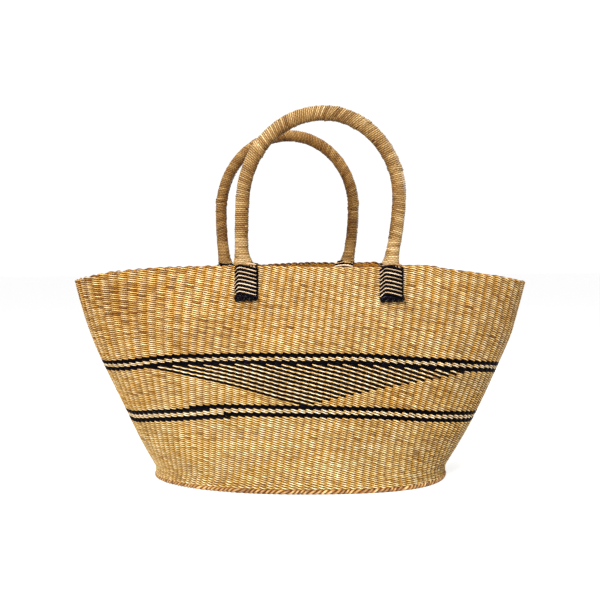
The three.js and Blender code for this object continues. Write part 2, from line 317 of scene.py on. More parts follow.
def stray(turn, rise):
    """How far the hand-woven rows wander up and down."""
    share = np.clip(rise / RIM, 0, 1)
    swell = np.sin(np.pi * share)
    wander = LONG_WAVE * np.sin(2 * turn) * swell
    for height, number, climb in SHORT_WAVES:
        wander = wander + height * np.sin(number * turn + rise / climb) * swell
    wander = wander + LEFT_END_LIFT * swell * np.exp(-((away_from(turn, LEFT_END) / LEFT_END_WIDTH) ** 2))
    low = np.sin(np.pi * np.clip(share / LOW_ROWS_TOP, 0, 1))
    wander = wander - LOW_ROWS_SAG * low
    high = np.clip((rise - RIM_UNEVEN_FROM) / RIM_UNEVEN_FADE, 0, 1) ** 2
    for places, part in ((LOW_ROWS_UNEVEN, low), (RIM_UNEVEN, high)):
        for centre, width, height in places:
            wander = wander + height * part * np.exp(-((away_from(turn, centre) / width) ** 2))
    return wander


def bulge_at(turn, height):
    """How far the wall stands out of its even oval."""
    size, number, climb = WALL_WAVE
    bulge = size * np.sin(number * turn + height / climb) * np.clip(height / WALL_WAVE_FULL_AT, 0, 1)
    for centre, width, level, reach, out in WALL_UNEVEN:
        away = away_from(turn, centre)
        bulge = bulge + out * np.exp(-((away / width) ** 2) - ((height - level) / reach) ** 2)
    return bulge


def wall_point(turn, rise, out):
    """A point of the wall: turn from the middle of the front to +X, height of its row, distance out."""
    turn, rise, out = np.broadcast_arrays(turn, rise, out)
    height = rise + stray(turn, rise)
    bulge = bulge_at(turn, height)
    length = half_length_at(height) + out + bulge
    depth = half_depth_at(height) + out + bulge
    return np.stack([
        length * np.sin(turn),
        -depth * np.cos(turn),
        height - drop_at(height) * np.abs(np.sin(turn)) ** DROP_POWER,
    ], -1)


def foot_spacing():
    """The angle round the foot, and how many stakes stand before it."""
    turn = np.linspace(0, 2 * np.pi, 3001)
    step = np.hypot(BASE_HALF_LENGTH * np.cos(turn), HALF_DEPTH * np.sin(turn))
    step = step * (1 - FOOT_EVENNESS * np.cos(2 * turn))
    length = np.concatenate([[0], np.cumsum((step[1:] + step[:-1]) / 2)])
    return turn, length / length[-1] * STAKES


FOOT_TURN, FOOT_STAKE = foot_spacing()


def stake_turn(stake, rise):
    """The angle of a stake at a height. The stakes fan out towards the two ends."""
    foot = np.interp(np.mod(stake + FIRST_STAKE, STAKES), FOOT_STAKE, FOOT_TURN)
    middle = np.round(foot / np.pi) * np.pi
    away = foot - middle
    fanned = middle + away * (STAKE_SPREAD + (1 - STAKE_SPREAD) * (away / (np.pi / 2)) ** 2)
    share = np.clip(rise / RIM, 0, 1)
    fan = 1 + FAN_CURVE - FAN_CURVE * share
    lean = STAKE_LEAN * (rise - LEAN_LEVEL) / half_length_at(rise)
    return foot + (fanned - foot) * share * fan + lean


# ---------------- meshes made of strands

class Bundle:
    """Strands gathered into one mesh. Every vertex has a tint and a place along and round its strand."""

    def __init__(self):
        self.points, self.faces, self.tints, self.grain = [], [], [], []
        self.count = 0

    def tube(self, rings, tint, along, closed=False):
        """Adds a strand: rings of points, their colours, and how far along the strand each ring is."""
        number, sides = rings.shape[:2]
        ring = np.arange(number if closed else number - 1)[:, None]
        side = np.arange(sides)[None, :]
        after = (ring + 1) % number
        beside = (side + 1) % sides
        corners = [
            ring * sides + side,
            ring * sides + beside,
            after * sides + beside,
            after * sides + side,
        ]
        self.faces.append(self.count + np.stack(corners, -1).reshape(-1, 4))
        self.points.append(rings.reshape(-1, 3))
        self.tints.append(np.broadcast_to(tint, rings.shape).reshape(-1, 3))
        place = np.empty(rings.shape)
        place[..., 0] = np.asarray(along)[:, None]
        place[..., 1] = np.abs(np.arange(sides) / sides * 2 - 1)
        place[..., 2] = chance.uniform(0, 100)
        self.grain.append(place.reshape(-1, 3))
        self.count += number * sides

    def cord(self, path, radius, upright, tones, level=0.5, sides=8, edge=1.0, dark_ends=True):
        """Adds a round cord along a path. Upright is across the cord, where its edges may take painted
        shade.
        """
        path = np.asarray(path, float)
        upright = np.asarray(upright, float)
        steps = np.linalg.norm(np.diff(path, axis=0), axis=1)
        along = np.concatenate([[0], np.cumsum(steps)])
        tangent = np.gradient(path, along, axis=0)
        tangent /= np.linalg.norm(tangent, axis=1, keepdims=True)
        first = upright - (tangent @ upright)[:, None] * tangent
        first /= np.linalg.norm(first, axis=1, keepdims=True)
        second = np.cross(tangent, first)
        angle = np.arange(sides) / sides * 2 * np.pi
        thick = np.broadcast_to(radius, along.shape)[:, None, None]
        from_end = np.minimum(along, along[-1] - along) / (0.6 * np.max(radius))
        ends = np.clip(from_end, 0.12, 1)[:, None, None]
        around = np.cos(angle)[None, :, None] * first[:, None]
        around = around + np.sin(angle)[None, :, None] * second[:, None]
        rings = path[:, None] + around * thick * np.sqrt(ends)
        shade = tone(tones, np.broadcast_to(level, along.shape))[:, None, :]
        if dark_ends:
            shade = shade * (0.55 + 0.45 * ends)
        self.tube(rings, shade * (edge + (1 - edge) * np.abs(np.sin(angle)))[None, :, None], along)

    def build(self, name, material):
        """Makes the mesh, as one named piece with its material."""
        points = np.concatenate(self.points) * MM
        faces = np.concatenate(self.faces)
        mesh = bpy.data.meshes.new(name)
        mesh.vertices.add(len(points))
        mesh.vertices.foreach_set("co", points.astype(np.float32).ravel())
        mesh.loops.add(faces.size)
        mesh.loops.foreach_set("vertex_index", faces.astype(np.int32).ravel())
        mesh.polygons.add(len(faces))
        mesh.polygons.foreach_set("loop_start", np.arange(0, faces.size, 4, dtype=np.int32))
        mesh.update(calc_edges=True)
        mesh.polygons.foreach_set("use_smooth", np.full(len(faces), True))
        colours = np.ones((len(points), 4), np.float32)
        colours[:, :3] = np.clip(np.concatenate(self.tints) * STRONG_LIGHT, 0, 1)
        tint = mesh.attributes.new("tint", "FLOAT_COLOR", "POINT")
        tint.data.foreach_set("color", colours.ravel())
        grain = mesh.attributes.new("grain", "FLOAT_VECTOR", "POINT")
        grain.data.foreach_set("vector", np.concatenate(self.grain).astype(np.float32).ravel())
        mesh.materials.append(material)
        piece = bpy.data.objects.new(name, mesh)
        bpy.context.scene.collection.objects.link(piece)
        return piece

    def stand_for(self, nodes, body, name, material):
        """Makes the piece, which rides on a body and stands for the CAD nodes."""
        piece = self.build(name, material)
        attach(piece, body)
        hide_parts(*nodes)


# ---------------- materials

STREAK_STRETCH = (0.16, 5.0, 1.0)   # the streaks are long along a strand and narrow round it
NOISE_MIDDLE = (0.3, 0.7)           # the part of a noise's range that is spread out
PATCH_SCALE = 26.0
PATCH_TONES = (0.92, 1.08)
BUMP_DEPTH = 0.0002


def map_range(tree, source, before, after):
    """A node that spreads one range of values over another."""
    spreader = tree.nodes.new("ShaderNodeMapRange")
    for name, value in zip(("From Min", "From Max", "To Min", "To Max"), (*before, *after)):
        spreader.inputs[name].default_value = value
    tree.links.new(source, spreader.inputs["Value"])
    return spreader.outputs["Result"]


def fibre_material(name, roughness, sheen, streak, bump, specular=0.35):
    """Dry plant fibre: the strands' tint, which holds their own colour and their painted shade, broken up
    by streaks along them and by larger patches.
    """
    material = bpy.data.materials.new(name)
    material.use_nodes = True
    tree = material.node_tree
    nodes, links = tree.nodes, tree.links
    shader = nodes["Principled BSDF"]
    shader.inputs["Sheen Weight"].default_value = sheen
    shader.inputs["Sheen Roughness"].default_value = 0.45
    shader.inputs["Specular IOR Level"].default_value = specular

    def attribute(attribute_name):
        reader = nodes.new("ShaderNodeAttribute")
        reader.attribute_name = attribute_name
        return reader

    def noise(source, scale, detail):
        texture = nodes.new("ShaderNodeTexNoise")
        texture.inputs["Scale"].default_value = scale
        texture.inputs["Detail"].default_value = detail
        links.new(source, texture.inputs["Vector"])
        return texture.outputs["Fac"]

    stretched = nodes.new("ShaderNodeVectorMath")
    stretched.operation = "MULTIPLY"
    stretched.inputs[1].default_value = STREAK_STRETCH
    links.new(attribute("grain").outputs["Vector"], stretched.inputs[0])
    streaks = noise(stretched.outputs["Vector"], 1.0, 3.0)
    patches = noise(nodes.new("ShaderNodeTexCoord").outputs["Object"], PATCH_SCALE, 2.0)

    both = nodes.new("ShaderNodeMath")
    both.operation = "MULTIPLY"
    links.new(map_range(tree, streaks, NOISE_MIDDLE, (1 - streak, 1 + streak)), both.inputs[0])
    links.new(map_range(tree, patches, NOISE_MIDDLE, PATCH_TONES), both.inputs[1])
    scaled = nodes.new("ShaderNodeVectorMath")
    scaled.operation = "SCALE"
    links.new(attribute("tint").outputs["Color"], scaled.inputs[0])
    links.new(both.outputs["Value"], scaled.inputs["Scale"])
    links.new(scaled.outputs["Vector"], shader.inputs["Base Color"])
    rough = map_range(tree, streaks, (0, 1), (roughness - 0.1, roughness + 0.12))
    links.new(rough, shader.inputs["Roughness"])

    ridges = nodes.new("ShaderNodeBump")
    ridges.inputs["Strength"].default_value = bump
    ridges.inputs["Distance"].default_value = BUMP_DEPTH
    links.new(streaks, ridges.inputs["Height"])
    links.new(ridges.outputs["Normal"], shader.inputs["Normal"])
    return material


STRAW = fibre_material("straw", 0.52, 0.02, 0.13, 0.5, specular=0.08)
PALE_STRAW = fibre_material("pale_straw", 0.50, 0.05, 0.10, 0.4, specular=0.05)
BLACK_STRAW = fibre_material("black_straw", 0.55, 0.0, 0.30, 0.5, specular=0.03)
BLACK_CORD = fibre_material("black_cord", 0.26, 0.0, 0.30, 0.3, specular=0.06)
STRIPED_WEAVE = fibre_material("striped_weave", 0.53, 0.0, 0.14, 0.4, specular=0.04)
ROPE = fibre_material("brown_straw", 0.60, 0.08, 0.24, 0.7, specular=0.2)
HANDLE_STRAW = fibre_material("handle_straw", 0.50, 0.02, 0.18, 0.5, specular=0.12)
STRIPED_CORD = fibre_material("striped_lashing", 0.50, 0.0, 0.18, 0.4, specular=0.02)
GRASS_CORE = fibre_material("grass_core", 0.62, 0.10, 0.2, 0.5)


# ---------------- the woven wall

NATURAL, PALE, DARK = 0, 1, 2
KIND_LEVELS = np.array([0.57, 0.78, 0.45])   # how pale each of the three is along its own tones
KIND_LOOKS = [(STRAW, "straw"), (PALE_STRAW, "pale_straw"), (BLACK_STRAW, "black_straw")]

Row = namedtuple("Row", "band height pitch kind")


def row_table():
    """Every row of weaving from the floor up: its band, middle height, pitch and kind of straw."""
    bands = [
        ("foot_band", 3, NATURAL),
        ("lower_band", 30, NATURAL),
        ("dark_row_1", 2, DARK),
        ("pale_row_lower", 2, PALE),
        ("dark_row_2", 2, DARK),
        ("middle_band", 21, NATURAL),
        ("dark_row_3", 2, DARK),
        ("pale_row_upper", 2, PALE),
        ("dark_row_4", 2, DARK),
        ("upper_band", 42, NATURAL),
    ]
    rows = []
    bottom = node_box("foot_ring")[1][2] + SEAM / 2
    for band, count, kind in bands:
        node = "motif_panel_front" if band == "middle_band" else band
        top = node_box(node)[1][2] + SEAM / 2
        pitch = (top - bottom) / count
        rows += [Row(band, bottom + (index + 0.5) * pitch, pitch, kind) for index in range(count)]
        bottom = top
    return rows


def rows_of(band):
    return [number for number, row in enumerate(ROWS) if row.band == band]


ROWS = row_table()
TOP_OF_WEAVE = ROWS[-1].height + ROWS[-1].pitch / 2
ROWS.append(Row("rim_border", TOP_OF_WEAVE + RIM_ROW_UP, RIM_ROW_PITCH, NATURAL))
FIRST_DARK_ROW = rows_of("dark_row_1")[0]
MOTIF_FIRST = rows_of("middle_band")[0]
MOTIF_ROWS = len(rows_of("middle_band"))


def stitch_kinds(number):
    """The kind of straw of each stitch of a row, which is two rounds, one for each of its two strands."""
    stitch = np.arange(2 * STAKES)
    place = stitch % STAKES + FIRST_STAKE
    kinds = np.full(2 * STAKES, ROWS[number].kind)
    returned = place > JOG_RETURN
    above = ROWS[min(number + 1, len(ROWS) - 1)].kind
    for first, count, (left, right) in JOGS:
        if 0 <= number - FIRST_DARK_ROW - first < count:
            kinds = np.where((place < right) & (above == DARK), DARK, kinds)
            kinds = np.where(returned | (place < left), above, kinds)
    level = number - MOTIF_FIRST
    if 0 <= level < MOTIF_ROWS:
        strand = stitch // STAKES
        for tip in MOTIF_STAKES:
            inside = np.abs(place - tip) <= level
            black = strand == (level + tip) % 2
            kinds = np.where(inside, np.where(black, DARK, PALE), kinds)
    return kinds


def stitch_levels(number, kinds):
    """How pale each stitch is, by its patch of the basket, its strand, its run and its own chance, darkened
    by painted shade high on the left and low on the right.
    """
    stitch = np.arange(2 * STAKES)
    height = ROWS[number].height
    turn = stake_turn(stitch, height)
    patch = 0
    for size, waves, climb, start in TONE_PATCHES:
        patch = patch + size * np.sin(waves * turn + height / climb + start)
    patch = patch - LEFT_RIM_PAINTED_SHADE * (height / RIM) ** 2 * np.clip(-np.sin(turn), 0, 1)
    patch = patch - RIGHT_FOOT_PAINTED_SHADE * (1 - height / RIM) * np.clip(np.sin(turn), 0, 1)
    strand = np.repeat(chance.normal(0, STRAND_TONE_CHANCE, 2), STAKES)
    runs = np.interp(stitch / RUN_STITCHES, np.arange(STAKES), chance.normal(0, RUN_TONE_CHANCE, STAKES))
    own = np.clip(chance.normal(0, STITCH_TONE_CHANCE, 2 * STAKES), *STITCH_TONE_LIMITS)
    return KIND_LEVELS[kinds] + patch + strand + runs + own


def twined_row(bundle, number):
    """One row: two strands that cross between all stakes, drawn as one that goes round twice."""
    band, height, pitch, _ = ROWS[number]
    kinds = stitch_kinds(number)
    levels = stitch_levels(number, kinds)
    place = np.arange(2 * STAKES * SEGMENTS) / SEGMENTS
    stitch = np.round(place).astype(int) % (2 * STAKES)
    phase = np.pi * place
    outer = np.cos(phase)
    dark = kinds[stitch] == DARK

    def own_chance(middle, spread):
        return np.interp(place, np.arange(2 * STAKES), chance.normal(middle, spread, 2 * STAKES))

    own_swing = SWING * (1 + own_chance(0, SWING_CHANCE))
    own_rise = own_chance(0, RISE_CHANCE)
    own_width = own_chance(1, WIDTH_CHANCE)
    own_width = own_width * np.where(dark, DARK_WIDTH["motif" if band == "middle_band" else "rows"], 1)
    middle_out = WEAVE_MIDDLE + own_swing * (np.sign(outer) * np.abs(outer) ** CREST)
    middle_rise = height + own_rise - SLANT * np.sin(phase)
    half_width = STRAND_HALF_SHARE * pitch * own_width * (0.90 + 0.10 * np.abs(outer))
    half_width = half_width * (1 + INNER_PASS_WIDER * np.clip(-outer, 0, 1))
    half_thick = STRAND_THICK * (0.85 + 0.15 * np.abs(outer))

    angle = np.arange(STRAND_SIDES) / STRAND_SIDES * 2 * np.pi
    out = middle_out[:, None] + half_thick[:, None] * np.cos(angle)
    rise = middle_rise[:, None] + half_width[:, None] * np.sin(angle)
    turn = stake_turn(place, height)[:, None]
    rings = wall_point(turn, rise, out)

    tints = np.empty((len(place), 3))
    low = np.clip(1 - height / (0.85 * RIM), 0, 1)
    straw_tones = STRAW_TONES * (1 + low * (LOW_TINT - 1))
    for kind, tones in ((NATURAL, straw_tones), (PALE, PALE_TONES), (DARK, BLACK_TONES)):
        chosen = kinds[stitch] == kind
        tints[chosen] = tone(tones, levels[stitch][chosen])
    # Painted shade: darker where the strand dives between stakes, towards its upper and lower edges, and
    # where it passes inside a stake.
    along_pass = 1 - DIVE_SHADE * np.abs(np.sin(phase)) ** 3
    across = EDGE_LIGHT + (1 - EDGE_LIGHT) * np.abs(np.cos(angle)) ** 1.8
    inward = 1 - INNER_PASS_SHADE * np.clip(-outer, 0, 1)
    lit = (along_pass[:, None] * across[None, :] * inward[:, None])[..., None]
    fade = np.where(dark[:, None, None], BLACK_SHADE_FADE, STRAW_SHADE_FADE)
    bundle.tube(rings, with_painted_shade(tints[:, None, :], lit, fade), place * STITCH_LENGTH, closed=True)


def weave_piece(name, numbers, material, nodes):
    bundle = Bundle()
    for number in numbers:
        twined_row(bundle, number)
    bundle.stand_for(nodes, "basket", name, material)


def woven_wall():
    """Every row of the wall, a piece for each band. The two widest bands are three pieces each."""
    for band in (
        "foot_band", "dark_row_1", "pale_row_lower", "dark_row_2",
        "dark_row_3", "pale_row_upper", "dark_row_4",
    ):
        numbers = rows_of(band)
        material, slot = KIND_LOOKS[ROWS[numbers[0]].kind]
        weave_piece(f"weave_{band}", numbers, material, [band])
    middle = ["middle_band_left", "middle_band_right", "motif_panel_front", "motif_panel_back"]
    weave_piece("weave_middle_band", rows_of("middle_band"), STRIPED_WEAVE, middle)
    # Left of the jog the lower band's top row is black, so the top rows take the duller material.
    for band in ("lower_band", "upper_band"):
        numbers = rows_of(band)
        half, last = len(numbers) // 2, len(numbers) - 1
        weave_piece(f"weave_{band}_low", numbers[:half], STRAW, [band])
        weave_piece(f"weave_{band}_high", numbers[half:last], STRAW, [band])
        weave_piece(f"weave_{band}_top", numbers[last:], STRIPED_WEAVE, [band])


def stakes():
    """The upright stakes inside the weave, which show only in the gaps."""
    bundle = Bundle()
    heights = np.linspace(STAKE_BOTTOM, TOP_OF_WEAVE, 15)
    angle = np.arange(6) / 6 * 2 * np.pi
    for stake in range(STAKES):
        turn = stake_turn(stake + STAKE_HALF_SHARE * np.cos(angle)[None, :], heights[:, None])
        out = STAKE_MIDDLE + STAKE_HALF_THICK * np.sin(angle)[None, :]
        rings = wall_point(turn, heights[:, None], out)
        # Painted shade: the stakes are halved in tone, as they lie in shade deep in the gaps.
        bundle.tube(rings, tone(ROPE_TONES, np.full(1, 0.2))[0] * 0.5, heights)
    piece = bundle.build("stakes", GRASS_CORE)
    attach(piece, "basket")


def rim_border():
    """A last row of twining, and the stakes' ends turned down over it one after another."""
    bundle = Bundle()
    for number in rows_of("rim_border"):
        twined_row(bundle, number)
    top = node_box("rim_border")[1][2]
    share = np.linspace(0, 1, 7)
    for stake in range(STAKES):
        start = stake + chance.normal(0, 0.05)
        reach = 1.25 + chance.normal(0, 0.1)
        hoop = top - TOP_OF_WEAVE - 0.2 + chance.normal(0, 0.25)
        turn = stake_turn(start + reach * share, RIM)
        rise = TOP_OF_WEAVE - 0.9 + hoop * np.sin(np.pi * (0.16 + 0.70 * share))
        out = -WALL + 0.6 + (WALL - 1.2) * share
        path = wall_point(turn, rise, out)
        radius = 1.05 * (1 + chance.normal(0, 0.08)) * (1 - 0.25 * share)
        # Painted shade: each turned-down end starts dark on the inner side of the wall and grows paler
        # towards the outside.
        level = -0.22 + 0.64 * share + chance.normal(0, 0.12)
        bundle.cord(path, radius, (0, 0, 1), RIM_TONES, level, sides=6)
    bundle.stand_for(["rim_border"], "basket", "rim_border_weave", STRAW)


def foot_rope():
    """Three thick strands twisted into the rope that the basket stands on."""
    low, high = node_box("foot_ring")
    middle = (low[2] + high[2]) / 2
    bundle = Bundle()
    turn = np.linspace(0, 2 * np.pi, ROPE_STEPS, endpoint=False)
    angle = np.arange(7) / 7 * 2 * np.pi
    uneven = 0.45 * np.sin(23 * turn) + 0.3 * np.sin(41 * turn + 1)
    for strand in range(ROPE_STRANDS):
        phase = ROPE_TWISTS * turn + uneven + 2 * np.pi * strand / ROPE_STRANDS
        centre_out = ROPE_MIDDLE + ROPE_SWING[0] * np.cos(phase)
        centre_rise = middle + ROPE_SWING[1] * np.sin(phase)
        rings = wall_point(turn[:, None], 0.0, centre_out[:, None] + ROPE_HALF_THICK[0] * np.cos(angle))
        heights = centre_rise[:, None] + ROPE_HALF_THICK[1] * np.sin(angle)
        rings[..., 2] = np.clip(heights, 0.05, high[2] - low[2] + 0.2)
        runs = np.repeat(chance.normal(0, 0.16, ROPE_STEPS // ROPE_RUN), ROPE_RUN)
        level = 0.45 + 0.16 * np.sin(9 * turn + strand) + runs
        # Painted shade: each strand is lit on the side that faces away from the rope's middle, and most on
        # the outer side of the rope.
        facing = np.clip(np.cos(angle[None, :] - phase[:, None]), 0, 1)[..., None]
        lit = 0.12 + 0.88 * facing * (0.55 + 0.45 * np.clip(np.cos(phase), 0, 1))[:, None, None]
        bundle.tube(rings, with_painted_shade(tone(ROPE_TONES, level)[:, None, :], lit), turn * 130, closed=True)
    bundle.stand_for(["foot_ring"], "basket", "foot_rope", ROPE)


def base_mat():
    """The oval base: twined rows round and round, on stakes that run out from its middle line."""
    low, high = node_box("base_mat")
    half_length, half_depth = high[0] + MAT_MARGIN, high[1] + MAT_MARGIN
    middle = (low[2] + high[2]) / 2
    spine = half_length - half_depth
    bundle = Bundle()
    angle = np.arange(4) / 4 * 2 * np.pi
    for row in range(MAT_ROWS):
        share = (row + 0.5) / MAT_ROWS
        stakes_here = next(count for edge, count in MAT_STAKES if share < edge)
        place = np.arange(2 * stakes_here * MAT_STEPS) / MAT_STEPS
        phase = np.pi * place
        turn = 2 * np.pi * place / stakes_here
        swing = np.sign(np.cos(phase)) * np.abs(np.cos(phase)) ** CREST
        height = middle + 1.25 * swing[:, None] + 0.85 * np.cos(angle)
        ring_share = share + (0.4 * np.sin(phase)[:, None] + 0.58 * np.sin(angle)) / MAT_ROWS
        bulge = (bulge_at(turn, 0.0) * share**3)[:, None]
        rings = np.stack([
            (spine * (1 - ring_share) + half_length * ring_share + bulge) * np.sin(turn)[:, None],
            -(half_depth * ring_share + bulge) * np.cos(turn)[:, None],
            height,
        ], -1)
        stitch = np.round(place).astype(int) % (2 * stakes_here)
        level = 0.5 + chance.normal(0, 0.14, 2 * stakes_here)[stitch]
        # Painted shade: darker where a strand dives between the mat's stakes.
        lit = (0.4 + 0.6 * np.abs(np.cos(phase)))[:, None, None]
        tint = with_painted_shade(tone(STRAW_TONES, level)[:, None, :], lit)
        bundle.tube(rings, tint, place * MAT_STITCH_LENGTH, closed=True)
    bundle.stand_for(["base_mat"], "basket", "base_mat_weave", STRAW)


# ---------------- handles

class HandlePlane:
    """The upright plane of a handle: along its feet, up from the rim, and out of the basket."""

    def __init__(self, side):
        joints = frame["record"]["behaviour"]["joints"]
        joint = next(joint for joint in joints if joint["name"] == f"{side}_handle_bend")
        self.side = side
        self.origin = np.array(joint["pos_m"]) / MM
        self.hinge = self.origin[2] - RIM
        self.origin[2] = RIM
        self.along = np.array(joint["axis"], float)
        self.outward = np.array([self.along[1], -self.along[0], 0.0])
        self.up = np.array([0.0, 0.0, 1.0])

    def point(self, along, up, outward):
        return (
            self.origin
            + np.asarray(along)[..., None] * self.along
            + np.asarray(up)[..., None] * self.up
            + np.asarray(outward)[..., None] * self.outward
        )


def leg_half(side, up):
    """How far a leg stands from the handle's middle at a height above the rim."""
    return HANDLE_HALF_WIDTH - HANDLE_TOE_IN[side] * ((SHOULDER - up) / SHOULDER) ** 2


def lean_at(side, up):
    """How far the handle leans over at a height, along the hinge's axis."""
    lean = HANDLE_LEAN[side] * up / (SHOULDER + ARCH_HEIGHT)
    sway = HANDLE_SWAY[side] * np.sin(np.pi * np.clip(up / (2 * SHOULDER), 0, 1))
    return lean + sway


def handle_line(side):
    """The handle's centreline in its plane, and the distance along it from one foot to the other."""
    leg = np.linspace(0, SHOULDER, 50, endpoint=False)
    angle = np.linspace(np.pi, 0, 180)
    half = leg_half(side, leg)
    along = np.concatenate([-half, HANDLE_HALF_WIDTH * np.cos(angle), half[::-1]])
    up = np.concatenate([leg, SHOULDER + ARCH_HEIGHT * np.sin(angle), leg[::-1]])
    along = along + lean_at(side, up)
    distance = np.concatenate([[0], np.cumsum(np.hypot(np.diff(along), np.diff(up)))])
    return along, up, distance


def handle_frame(side, at):
    """Centre, direction and outer normal of the handle at distances along it, in its plane."""
    along, up, distance = handle_line(side)

    def place(where):
        return np.stack([np.interp(where, distance, along), np.interp(where, distance, up)], -1)

    direction = place(at + 1) - place(at - 1)
    direction /= np.linalg.norm(direction, axis=-1, keepdims=True)
    normal = np.stack([-direction[..., 1], direction[..., 0]], -1)
    return place(at), direction, normal


def plies(turn, angle):
    """The painted light and shade of the plies of a twisted strand, for each ring and each side of it."""
    light = 1 - PLY_SHADE + PLY_SHADE * np.cos(2 * np.pi * TWISTS * turn[:, None] + angle[None, :])
    return light[..., None]


def outer_light(angle):
    """The light on each side of a wound strand, where nearly none reaches its inner sides."""
    return (0.06 + 0.94 * np.clip(np.cos(angle), 0, 1))[None, :, None]


def third_turns(turn, spread):
    """A chance value for each third of a turn."""
    number = np.floor(turn * 3).astype(int)
    return chance.normal(0, spread, number.max() + 1)[number]


def wound_strand(bundle, plane, start, end, radius, slant, bright=0.0):
    """A strand wound round the handle between two distances, on which its radius and slant depend."""
    turn = np.arange(int((end - start) / WRAP_PITCH * WRAP_STEPS)) / WRAP_STEPS
    phase = 2 * np.pi * turn
    base = start + WRAP_PITCH * turn
    at = base + slant(base) * radius(base) * np.cos(phase)
    centre, direction, normal = handle_frame(plane.side, at)
    distance_out = radius(base) - WRAP_HALF_THICK + third_turns(turn, 0.16)

    angle = np.arange(6) / 6 * 2 * np.pi
    rings = []
    for side_angle in angle:
        reach = distance_out + WRAP_HALF_THICK * np.cos(side_angle)
        shift = WRAP_HALF_WIDTH * np.sin(side_angle)
        in_plane = centre + normal * (reach * np.cos(phase))[:, None] + direction * shift
        rings.append(plane.point(in_plane[:, 0], in_plane[:, 1], reach * np.sin(phase)))

    own = third_turns(turn, 0.15)
    runs = 0.06 * np.sin(base / 9.0) + 0.04 * np.sin(base / 3.7 + 1)
    # Painted shade: the winding is paler on the outer side of the loop and darker on its inner side, under
    # the arch.
    level = 0.52 + bright + own + runs + 0.10 * np.cos(phase)
    under = (0.80 + 0.20 * np.cos(phase))[:, None, None]
    lit = outer_light(angle) * under * plies(turn, angle)
    shade = with_painted_shade(tone(WINDING_TONES[plane.side], level)[:, None, :], lit, HANDLE_SHADE_FADE)
    bundle.tube(np.stack(rings, 1), shade, base * 12)


def handle(side):
    """The wrapped loop above the bindings of its feet, with its grass core."""
    plane = HandlePlane(side)
    total = handle_line(side)[2][-1]
    thin, thick = HANDLE_RADII[side]

    def radius(at):
        return thin + (thick - thin) * np.sin(np.pi * np.clip(at / total, 0, 1)) ** 2

    def slant(at):
        share = at / total
        return 0.10 + 0.36 * np.exp(-(((share - 0.47) / 0.17) ** 2)) - 0.12 * np.sin(share * 19)

    def mend_radius(at):
        return radius(at) + 0.55

    def mend_slant(at):
        return slant(at) + 0.22

    bundle = Bundle()
    start, end = BINDING_TOP - BINDING_OVERLAP, total - BINDING_TOP + BINDING_OVERLAP
    wound_strand(bundle, plane, start, end, radius, slant)
    for share in MENDS[side]:
        from_here = share * total
        to_here = from_here + MEND_TURNS * WRAP_PITCH
        wound_strand(bundle, plane, from_here, to_here, mend_radius, mend_slant, bright=0.04)
    body = f"{side}_handle"
    bundle.stand_for([f"{body}_wrap"], body, f"{body}_winding", HANDLE_STRAW)

    bundle = Bundle()
    at = np.linspace(start + 1, end - 1, 120)
    centre, _, normal = handle_frame(side, at)
    for strand in range(CORE_STRANDS):
        phase = 2 * np.pi * strand / CORE_STRANDS + at / 60
        in_plane = centre + normal * (2.7 * np.cos(phase))[:, None]
        path = plane.point(in_plane[:, 0], in_plane[:, 1], 2.7 * np.sin(phase))
        bundle.cord(path, 2.3, plane.outward, ROPE_TONES, 0.3)
    bundle.stand_for([f"{body}_core"], body, f"{body}_grass", GRASS_CORE)


def foot_binding(side, sign):
    """The straw wound round a leg's foot. It spreads along the rim."""
    plane = HandlePlane(side)
    foot = f"{side}_{FOOT_NAMES[side, sign]}"
    left_spread, right_spread = FOOT_SPREAD[side, sign]
    count = int((BINDING_TOP + BINDING_OVERLAP) / BINDING_PITCH)
    turn = np.arange(count * BINDING_STEPS) / BINDING_STEPS
    phase = 2 * np.pi * turn
    height = 0.9 + BINDING_PITCH * turn
    low = np.clip((BINDING_TOP - height) / BINDING_TOP, 0, 1)
    right = BINDING_RADIUS + (right_spread - BINDING_RADIUS) * low**3.2
    left = BINDING_RADIUS + (left_spread - BINDING_RADIUS) * low**3.2
    half = np.where(np.cos(phase) > 0, right, left)
    deep = BINDING_RADIUS + 0.5 * low**2
    wobble = third_turns(turn, 0.16)
    sag = 1.3 * low**2 * np.sin(phase) ** 2
    lean_of_turns = 0.5 * np.cos(phase) * np.sin(height / 3)
    centre = sign * leg_half(side, height) + lean_at(side, height)

    bundle = Bundle()
    angle = np.arange(6) / 6 * 2 * np.pi
    rings = []
    for side_angle in angle:
        reach = wobble + BINDING_HALF_THICK * (np.cos(side_angle) - 1)
        up = np.maximum(height - sag + lean_of_turns + BINDING_HALF_WIDTH * np.sin(side_angle), -0.4)
        along = centre + (half + reach) * np.cos(phase)
        rings.append(plane.point(along, up, (deep + reach) * np.sin(phase)))
    level = 0.56 + third_turns(turn, 0.15) + 0.06 * np.sin(height / 2.3)
    lit = outer_light(angle) * plies(turn, angle)
    shade = with_painted_shade(tone(WINDING_TONES[side], level)[:, None, :], lit, HANDLE_SHADE_FADE)
    bundle.tube(np.stack(rings, 1), shade, height * 14)

    for strand in range(BINDING_CORES):
        up = np.linspace(0.5, BINDING_TOP + 2, 12)
        phase = 2 * np.pi * strand / BINDING_CORES + 0.7
        centre = sign * leg_half(side, up) + lean_at(side, up)
        path = plane.point(centre + 2.6 * math.cos(phase), up, 2.6 * math.sin(phase) + 0 * up)
        bundle.cord(path, 2.6, plane.along, ROPE_TONES, 0.3)
    binding = bundle.build(f"{foot}_foot_binding", HANDLE_STRAW)
    hinge = plane.point(np.array(sign * leg_half(side, 0.0)), np.array(plane.hinge), np.array(0.0))
    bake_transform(binding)
    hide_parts(f"{foot}_leg_binding")


# ---------------- lashings

